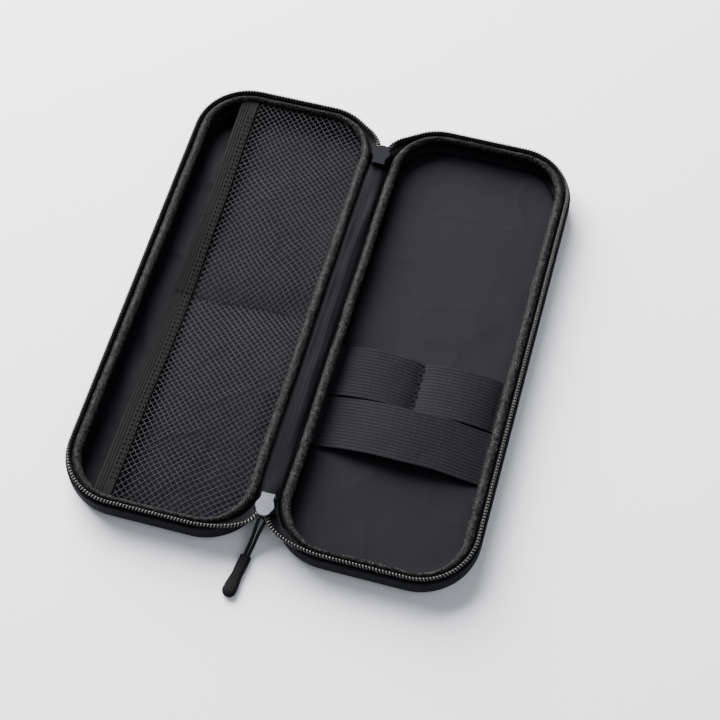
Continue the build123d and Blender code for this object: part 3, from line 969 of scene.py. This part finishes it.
@dataclass
class NetPocket:
    """Net pocket with an elastic mouth and a seam to the floor across its middle."""

    finishes: Finishes
    mouth_x: float = -72.5
    band: float = 8.5
    spine_x: float = -9.2
    end_y: float = 104.0
    rim_z: float = 11.3
    seam_z: float = 3.9
    seam_spine_z: float = 8.3
    pitch: float = 2.15
    strand: float = 0.17
    stitch_pitch: float = 2.4

    def __post_init__(self) -> None:
        """Sets up the outline and the noise of the cloth."""
        self.outline = Outline(-1)
        self.noise = Noise(57)
        self.net_x = self.mouth_x + self.band

    def height(self, x: Array, y: Array) -> Array:
        """Height of the pocket at each point.

        It falls from the rim at both ends to the floor at the dividing seam, less so by the spine.
        Between its edges it bellies up and has slow folds.
        """
        v = np.clip(np.abs(y) / self.end_y, 0, 1)
        u = np.clip((x - self.net_x) / (self.spine_x - self.net_x), -0.2, 1)
        mouth = self.seam_z + (self.rim_z - self.seam_z) * (1 - (1 - v) ** 1.15)
        spine = self.seam_spine_z + (self.rim_z - self.seam_spine_z) * smooth(0, 0.16, v)
        across = smooth(0.0, 1.0, u) * 0.6 + 0.4 * np.clip(u, 0, 1) ** 2
        base = mouth * (1 - across) + spine * across
        belly = np.sin(math.pi * np.clip(u, 0, 1)) * np.sin(math.pi * np.clip(v, 0, 1)) ** 0.7
        folds = self.noise.octaves(x / 21 + y / 45, y / 17 - x / 60, 2)
        pull = np.exp(-((y / 5.0) ** 2)) * 1.2 * np.sin(math.pi * np.clip(u, 0, 1))
        wrinkle = self.noise.ridges(x / 34 + y / 50, y / 26 - x / 22)
        return base + belly * (0.8 + folds * 0.9 + wrinkle * 0.9) - pull

    def strands(self, way: int) -> tuple[Array, Array]:
        """Middle lines of one set of strands, two points to a cell.

        Args:
            way: 1 or -1, the diagonal that the set runs on.

        Returns:
            Points of shape (lines, points, 3), and which of them lie within the pocket.
        """
        reach = 190.0
        lines = np.arange(-reach, reach, self.pitch)
        walk = np.arange(-reach, reach, self.pitch / 2)
        c, t = np.meshgrid(lines, walk, indexing="ij")
        x, y = (t * way + c) / math.sqrt(2), (t - c * way) / math.sqrt(2)
        drift = self.noise(x / 26, y / 30) * 1.6 + self.noise(x / 7, y / 7) * 0.22
        sway = self.noise(y / 28 + 9, x / 24) * 1.3 + self.noise(y / 6 + 3, x / 8) * 0.2
        x, y = x + drift - 37.0, y + sway
        inside = (self.outline.inside(x, y, 4.9) > 0) & (x > self.net_x - 1.2)
        return np.stack([x, y, self.height(x, y) + way * 0.08], -1), inside

    def net(self) -> bpy.types.Object:
        """Open net: two sets of strands at 45 degrees to the spine, thicker where they cross."""
        points, quads, start = [], [], 0
        sides = 6
        turn = full_turn(sides)
        for way in (1, -1):
            center, inside = self.strands(way)
            before, after = np.roll(inside, 1, 1), np.roll(inside, -1, 1)
            alive = inside & (before | after)
            knot = np.where(np.arange(alive.shape[1]) % 2, 0.9, 1.15)
            radius = np.where(alive & ~(before & after), 0.01, self.strand * knot)
            across = np.array([1, -way, 0]) / math.sqrt(2)
            ring = np.cos(turn)[:, None] * across + np.sin(turn)[:, None] * np.array([0, 0, 1.0])
            cloud = center[:, :, None] + ring * radius[..., None, None]
            number = np.full(alive.shape, -1)
            number[alive] = np.arange(alive.sum())
            both = alive[:, :-1] & alive[:, 1:]
            a, b = number[:, :-1][both] * sides, number[:, 1:][both] * sides
            for k in range(sides):
                k1 = (k + 1) % sides
                quads.append(start + np.stack([a + k, b + k, b + k1, a + k1], -1))
            points.append(cloud[alive].reshape(-1, 3))
            start += sides * int(alive.sum())
        piece = add_mesh("pocket_net", np.concatenate(points), np.concatenate(quads), weld=0.02)
        return dress(piece, "left_half", "pocket_net", self.finishes.net, "mesh_pocket")

    def elastic(self) -> bpy.types.Object:
        """Elastic of the mouth: four cords under the cloth, then a flat stitched hem."""
        rows = np.linspace(-107.5, 107.5, 240)
        columns = np.linspace(0, self.band, 52)
        y, u = np.meshgrid(rows, columns, indexing="ij")
        bend = (1 - (np.abs(y) / self.end_y) ** 2) * 0.8
        x = self.mouth_x + u + self.noise(y / 30, y * 0 + 3.3) * 0.35 + bend * 0.3
        z = self.height(x, y) + 0.5
        ribs = np.abs(np.sin(math.pi * (u - 0.6) / 1.2)) ** 0.7
        ribs = ribs * smooth(0.3, 0.8, u) * smooth(4.6, 4.0, u)
        hem = smooth(4.4, 4.9, u) * 0.12 + smooth(7.6, 7.9, u) * 0.2
        gather = self.noise.octaves(y / 2.2, u / 6) * 0.05
        edge = smooth(0, 0.5, u) * smooth(self.band, self.band - 0.5, u)
        z = z + ribs * 0.24 + hem + gather - (1 - edge) * 0.5
        points = np.stack([x, y, z], -1)
        end = self.outline.inside(x, y, 4.6)
        points[..., 1] += np.sign(y) * np.minimum(end, 0)
        piece = sheet_solid("pocket_edge_elastic", points, 0.9)
        return dress(piece, "left_half", "elastic", self.finishes.edge_elastic, "pocket_elastic")

    def stitches(self) -> bpy.types.Object:
        """Stitches along the elastic's hem and across the dividing seam."""
        hem = []
        for offset in (5.3, 7.1):
            places = np.arange(-98, 98, self.stitch_pitch)
            x = self.mouth_x + offset + self.noise(places / 30, places * 0 + 3.3) * 0.35
            x = x + (1 - (np.abs(places) / self.end_y) ** 2) * 0.24
            z = self.height(x, places) + 0.72
            hem.append(stitch_row(np.stack([x, places, z], -1), np.array([0, 1, 0]), 1.15, 0.3))
        along = np.arange(self.mouth_x + 1, self.spine_x - 3, self.stitch_pitch)
        y = self.noise(along / 18, along * 0 + 7.7) * 0.8
        lift = np.where(along < self.net_x, 1.2, 0.35)
        seam = np.stack([along, y, self.height(along, y) + lift], -1)
        hem.append(stitch_row(seam, np.array([1, 0, 0]), 1.7, 0.28))
        piece = joined("pocket_seam_stitches", hem)
        return dress(piece, "left_half", "thread", self.finishes.thread, "pocket_stitches")

    def build(self) -> None:
        net = self.net()
        elastic = self.elastic()
        stitches = self.stitches()


def stitch_row(places: Array, heading: Array, length: float, radius: float) -> bpy.types.Object:
    """Short threads that rise out of the cloth and dive back, one at each place."""
    sides = 6
    t = np.linspace(-0.5, 0.5, sides)
    rise = (0.25 - t**2) * 4 * radius * 0.8
    turn = full_turn(sides)
    along = heading / np.linalg.norm(heading)
    side = np.cross(along, [0, 0, 1.0])
    ring = np.cos(turn)[:, None] * side + np.sin(turn)[:, None] * np.array([0, 0, 1.0])
    taper = np.sqrt(np.clip(1 - (2 * t) ** 4, 0, 1))
    one = (
        t[:, None, None] * length * along
        + rise[:, None, None] * np.array([0, 0, 1.0])
        + ring[None] * (radius * taper)[:, None, None]
    )
    cloud = places[:, None, None] + one[None]
    quads = grid_quads(sides, sides, False, True)
    numbers = quads[None] + (np.arange(len(places)) * sides**2)[:, None, None]
    return add_mesh("stitch_row", cloud.reshape(-1, 3), numbers.reshape(-1, 4), weld=0.001)


# ---------------------------------------------------------------- the right tray's loops


@dataclass
class LoopPanel:
    """Padded floor of the right tray, with a divided strap and a single one."""

    finishes: Finishes
    width: float = 25.0
    upper_y: float = -8.0
    lower_y: float = -33.6
    floor: float = 4.2
    start_x: float = 5.6
    end_x: float = 87.0
    middle: float = 46.25
    pad_inset: float = 6.6

    def pad(self) -> bpy.types.Object:
        """Padded floor: a low cushion with rounded edges and soft dents."""
        outline = Outline(1)
        rounding = 0.7
        edge = arc_points((self.pad_inset + rounding, 3.5), rounding, 180, 90, 6)
        low = np.array([[self.pad_inset, 3.0]])
        top = outline.dished(np.concatenate([low, edge]), 1.5, 40)
        under = outline.dished(low, 1.5, 10)[1:][::-1]
        points = np.concatenate([under, top])
        noise = Noise(71)
        x, y = points[..., 0], points[..., 1]
        up = points[..., 2] > 4.0
        dent = noise.octaves(x / 30, y / 34) * 0.22 + noise.ridges(x / 26, y / 30) * 0.12
        points[..., 2] += np.where(up, dent * smooth(6.8, 12, outline.inside(x, y, 0)), 0)
        piece = lathe_grid("padded_floor", points, wrap_columns=True)
        dress(piece, "right_half", "pad_cloth", self.finishes.pad, "base_pad")
        return piece

    def strap(
        self, name: str, first_y: float, rise: Callable[[Array], Array], seed: int
    ) -> bpy.types.Object:
        """Ribbed elastic strap: ribs along its length on a surface that stands off the floor.

        Args:
            name: the piece's name.
            first_y: its edge nearest the back.
            rise: height of its upper face over the floor, by X.
            seed: of its small waves.
        """
        x, v = np.meshgrid(
            np.linspace(self.start_x, self.end_x, 120), np.linspace(0, 1, 145), indexing="ij"
        )
        noise = Noise(seed)
        y = first_y - v * self.width
        wave = noise(x / 16, v * 0 + 2.5) * 0.45 * smooth(5, 20, x - self.start_x)
        y = y + wave * smooth(0, 30, self.end_x - x)
        z = self.floor + rise(x) + noise.octaves(x / 17, v * 1.4) * 0.16
        ribs = np.abs(np.sin(math.pi * v * 16)) ** 0.8
        z = z + ribs * 0.15 + (np.sin(x * 2 * math.pi / 0.9) * 0.02)
        points = np.stack([x, y, z], -1)
        return sheet_solid(name, points, 0.95)

    def ends(self, x: Array) -> Array:
        """Rise of a strap's ends up the walls, by X."""
        left = smooth(self.start_x + 4.5, self.start_x, x)
        right = smooth(self.end_x - 4.5, self.end_x, x)
        return (left + right) * 3.0

    def straps(self) -> None:
        """Builds both straps."""

        def one(x: Array) -> Array:
            """One wide arch."""
            t = (x - self.middle) / 36.0
            return 1.0 + 5.2 * np.clip(1 - t**2, 0, 1) ** 1.15 + self.ends(x)

        def two(x: Array) -> Array:
            """Two arches with the seam between them."""
            left = (x - 28.3) / 17.2
            right = (x - 64.2) / 17.4
            arch = np.clip(1 - left**2, 0, 1) + np.clip(1 - right**2, 0, 1)
            return 1.0 + 3.4 * arch**0.8 + self.ends(x)

        lower = self.strap("wide_elastic_loop", self.lower_y, one, 83)
        dress(lower, "right_half", "elastic", self.finishes.elastic, "lower_loop")
        upper = self.strap("divided_elastic_loop", self.upper_y, two, 89)
        dress(upper, "right_half", "elastic", self.finishes.elastic, "upper_loop")
        places = np.arange(self.upper_y - 1.0, self.upper_y - self.width + 0.5, -2.2)
        zigzag = np.where(np.arange(len(places)) % 2, 0.35, -0.35)
        x = np.full(len(places), self.middle - 0.3) + zigzag
        z = np.full(len(places), self.floor + 1.55)
        seam = stitch_row(np.stack([x, places, z], -1), np.array([0.25, 1, 0]), 1.9, 0.3)
        seam.name = "loop_seam_stitches"
        dress(seam, "right_half", "thread", self.finishes.thread, "loop_stitches")
        for piece, stitched in ((lower, []), (upper, [seam])):
            self.width * MM

    def build(self) -> None:
        """Builds the padded floor and the straps."""
        self.pad()
        self.straps()


# ---------------------------------------------------------------- spine, sliders and pulls


@dataclass
class Spine:
    """Cloth of the spine, in two halves."""

    finishes: Finishes
    ends: tuple[float, float] = (-90.8, 85.0)
    edge: float = 6.8
    height: float = 13.15

    def half(self, side: int) -> bpy.types.Object:
        """Cloth from the middle line to under one binding: a slack gutter with long waves."""
        rows = np.linspace(*self.ends, 260)
        columns = np.linspace(0, self.edge, 30)
        y, u = np.meshgrid(rows, columns, indexing="ij")
        noise = Noise(97)
        long_wave = noise(side * u / 4 + 5, y / 15) * 0.32
        ridge_x = 0.6 + 2.4 * noise(y / 38, y * 0 + 3.5) + 0.8 * noise(y / 15, y * 0 + 8.5)
        fullness = 0.75 + 0.5 * noise(y / 24, y * 0 + 1.5)
        pleat = 0.75 * fullness * np.exp(-(((side * u - ridge_x) / 1.9) ** 2))
        free = smooth(0, 9, y - self.ends[0]) * smooth(0, 9, self.ends[1] - y)
        low = 1.5 * smooth(3.2, 5.6, u) + (1 - free) * 0.9 * smooth(2.2, 3.4, u)
        z = self.height - low + (long_wave + pleat - 0.2) * free * smooth(5.6, 3.6, u)
        top = np.stack([side * u, y, z], -1)
        name = "left" if side < 0 else "right"
        piece = sheet_solid(name + "_spine_cloth", top, 0.8)
        dress(piece, "spine", "spine_cloth", self.finishes.spine, name + "_hinge_flap")
        return piece

    def build(self) -> None:
        """Builds both halves, takes each off its body and bakes its placement into its mesh."""
        for side, body in ((-1, "left_half"), (1, "right_half")):
            piece = self.half(side)
            if side < 0:
                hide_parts("spine_strip")
            piece.parent = None
            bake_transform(piece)


@dataclass
class Pull:
    """Doubled cord through a slider's bridge, with its ends moulded into a grip.

    Attributes:
        name: front or back.
        finishes: every finish of the pouch.
        route: points that the cord follows, in millimetres.
        grip_at: middle of the grip's cord end, in plan.
        heading: direction of the grip in plan, in degrees from +X.
        length: the cord's real length; not used.
        diameter: of the cord.
        grip_length: length of the grip.
        thickness: its thickness.
    """

    name: str
    finishes: Finishes
    route: Sequence[tuple[float, float, float]]
    grip_at: tuple[float, float]
    heading: float
    length: float
    diameter: float = 1.5
    grip_length: float = 19.5
    thickness: float = 3.6

    def grip(self) -> bpy.types.Object:
        """Moulded grip: rounded sections that widen from the cord to a round end."""
        t = np.linspace(0, 1, 60)
        s = t * self.grip_length
        half = 2.4 + 0.6 * smooth(8, 16.5, s) - 0.1 * smooth(6, 9, s) * smooth(12, 9, s)
        tip = np.sqrt(np.clip(1 - ((s - 16.5) / 3.0).clip(0, 1) ** 2, 0, 1))
        mouth = np.sqrt(np.clip(1 - (1 - (s / 0.6).clip(0, 1)) ** 2, 0, 1)) * 0.25 + 0.75
        half = half * np.minimum(tip, mouth) + 1e-4
        tall = self.thickness / 2 * (0.93 + 0.07 * smooth(6, 0, s)) * np.minimum(tip**0.6, mouth)
        turn = full_turn(28)
        across, high = squared_off(np.cos(turn), 0.62), squared_off(np.sin(turn), 0.62)
        heading = math.radians(self.heading)
        along = np.array([math.cos(heading), math.sin(heading), 0])
        side = np.array([-math.sin(heading), math.cos(heading), 0])
        origin = np.array([*self.grip_at, self.thickness / 2])
        body = (
            origin
            + s[:, None, None] * along
            + (half[:, None] * across[None])[..., None] * side
            + (tall[:, None] * high[None])[..., None] * np.array([0, 0, 1.0])
        )
        cap = np.broadcast_to(origin, (1, len(turn), 3))
        body = np.concatenate([cap, body])
        piece = lathe_grid(self.name + "_rubber_grip", body, wrap_columns=True)
        node = self.name + "_pull_grip"
        return dress(piece, self.name + "_pull", "grip_rubber", self.finishes.rubber, node)

    def cord(self) -> bpy.types.Object:
        """The cord as one smooth open curve."""
        curve = bpy.data.curves.new(self.name + "_braided_cord", "CURVE")
        curve.dimensions = "3D"
        curve.bevel_depth = self.diameter / 2 * MM
        curve.bevel_resolution = 4
        curve.resolution_u = 10
        curve.use_fill_caps = True
        spline = curve.splines.new("NURBS")
        spline.points.add(len(self.route) - 1)
        for point, (x, y, z) in zip(spline.points, self.route):
            point.co = (x * MM, y * MM, z * MM, 1)
        spline.order_u = 3
        spline.use_endpoint_u = True
        piece = bpy.data.objects.new(self.name + "_braided_cord", curve)
        bpy.context.scene.collection.objects.link(piece)
        node = self.name + "_pull_cord"
        return dress(piece, self.name + "_pull", "pull_cord", self.finishes.cord, node)

    def build(self) -> None:
        """Builds the grip and the cord."""
        grip, cord = self.grip(), self.cord()


# ---------------------------------------------------------------- stage


@dataclass
class Studio:
    """Pale floor, soft lights and the camera, with its angles in degrees."""

    distance: float = 748.0
    azimuth: float = 18.25
    elevation: float = 59.19
    roll: float = -2.68
    lens: float = 85.0
    aim: tuple[float, float] = (-0.0187, 0.0267)
    floor_color: tuple[float, float, float, float] = (0.79, 0.79, 0.83, 1)
    sky_color: tuple[float, float, float, float] = (0.84, 0.9, 1.0, 1)
    sky_strength: float = 0.3

    def floor(self) -> None:
        """Wide plain floor."""
        size = 4000.0
        square = np.array([[-1, -1, 0], [1, -1, 0], [1, 1, 0], [-1, 1, 0]]) * size
        piece = add_mesh("studio_floor", square.astype(float), np.array([[0, 1, 2, 3]]))
        shader = Shader("studio_floor")
        shader.set(Base_Color=self.floor_color, Roughness=0.85)
        piece.data.materials.append(shader.material)

    def light(self, name: str, place: Color, size: float, power: float, color: Color) -> None:
        """A square light that faces the pouch, with its place and size in metres and power in watts."""
        lamp = bpy.data.lights.new(name, "AREA")
        lamp.size, lamp.energy, lamp.color = size, power, color
        piece = bpy.data.objects.new(name, lamp)
        piece.location = place
        piece.rotation_euler = (-Vector(place)).to_track_quat("-Z", "Y").to_euler()
        bpy.context.scene.collection.objects.link(piece)

    def camera(self) -> None:
        """Camera on a line from the middle of the spine, turned a little off it."""
        a, e = math.radians(self.azimuth), math.radians(self.elevation)
        back = Vector((math.sin(a) * math.cos(e), -math.cos(a) * math.cos(e), math.sin(e)))
        right = Vector((math.cos(a), math.sin(a), 0))
        up = back.cross(right)
        r = math.radians(self.roll)
        right, up = right * math.cos(r) + up * math.sin(r), up * math.cos(r) - right * math.sin(r)
        place = Vector((0, 0, 15)) + back * self.distance
        forward = (-back - right * self.aim[0] - up * self.aim[1]).normalized()
        right = forward.cross(up).normalized()
        up = right.cross(forward)
        data = bpy.data.cameras.new("view")
        data.lens, data.sensor_width = self.lens, 36
        data.clip_start, data.clip_end = 0.01, 20
        piece = bpy.data.objects.new("view", data)
        turn = Matrix((right, up, -forward)).transposed().to_4x4()
        piece.matrix_world = Matrix.Translation(place * MM) @ turn
        bpy.context.scene.collection.objects.link(piece)
        bpy.context.scene.camera = piece

    def build(self) -> None:
        """Sets the stage."""
        self.floor()
        world = bpy.data.worlds.new("studio")
        world.use_nodes = True
        back = world.node_tree.nodes["Background"]
        back.inputs["Color"].default_value = self.sky_color
        back.inputs["Strength"].default_value = self.sky_strength
        bpy.context.scene.world = world
        self.light("key", place=(-0.76, 0.84, 0.80), size=1.3, power=150, color=(1.0, 0.99, 0.98))
        self.light("fill", place=(0.8, -0.5, 1.1), size=1.4, power=8, color=(0.95, 0.97, 1.0))
        self.camera()


FRONT_CORD = (
    (-4.51, -116.46, 1.8),
    (-3.2, -108.8, 3.0),
    (-2.1, -102.5, 8.0),
    (-1.7, -96.9, 10.6),
    (1.7, -96.9, 10.6),
    (1.45, -99.6, 9.8),
    (-0.35, -103.7, 7.0),
    (-1.5, -108.4, 3.2),
    (-2.93, -116.68, 1.8),
)
BACK_CORD = (
    (-0.8, 70.2, 1.8),
    (-0.85, 78.7, 3.2),
    (-1.05, 84.9, 7.4),
    (-1.7, 91.1, 10.6),
    (1.7, 91.1, 10.6),
    (1.05, 84.9, 7.4),
    (0.85, 78.7, 3.2),
    (0.8, 70.2, 1.8),
)


def main() -> None:
    """Builds the pouch from the trays inward, then the stage."""
    finishes = Finishes()
    for side in (-1, 1):
        Tray(side, finishes).build()
    NetPocket(finishes).build()
    LoopPanel(finishes).build()
    Spine(finishes).build()
    # The back slider's finish is painted shade: the front slider's metal, made dark.
    for name, material in (("front_slider", finishes.gunmetal), ("back_slider", finishes.painted_shade_slider_metal)):
        coat(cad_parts[name], material)
    Pull("front", finishes, FRONT_CORD, grip_at=(-3.3, -113.6), heading=-98.0, length=46.8).build()
    Pull("back", finishes, BACK_CORD, grip_at=(0.0, 73.2), heading=-90.0, length=47.9).build()
    Studio().build()


if __name__ == "__main__":
    main()
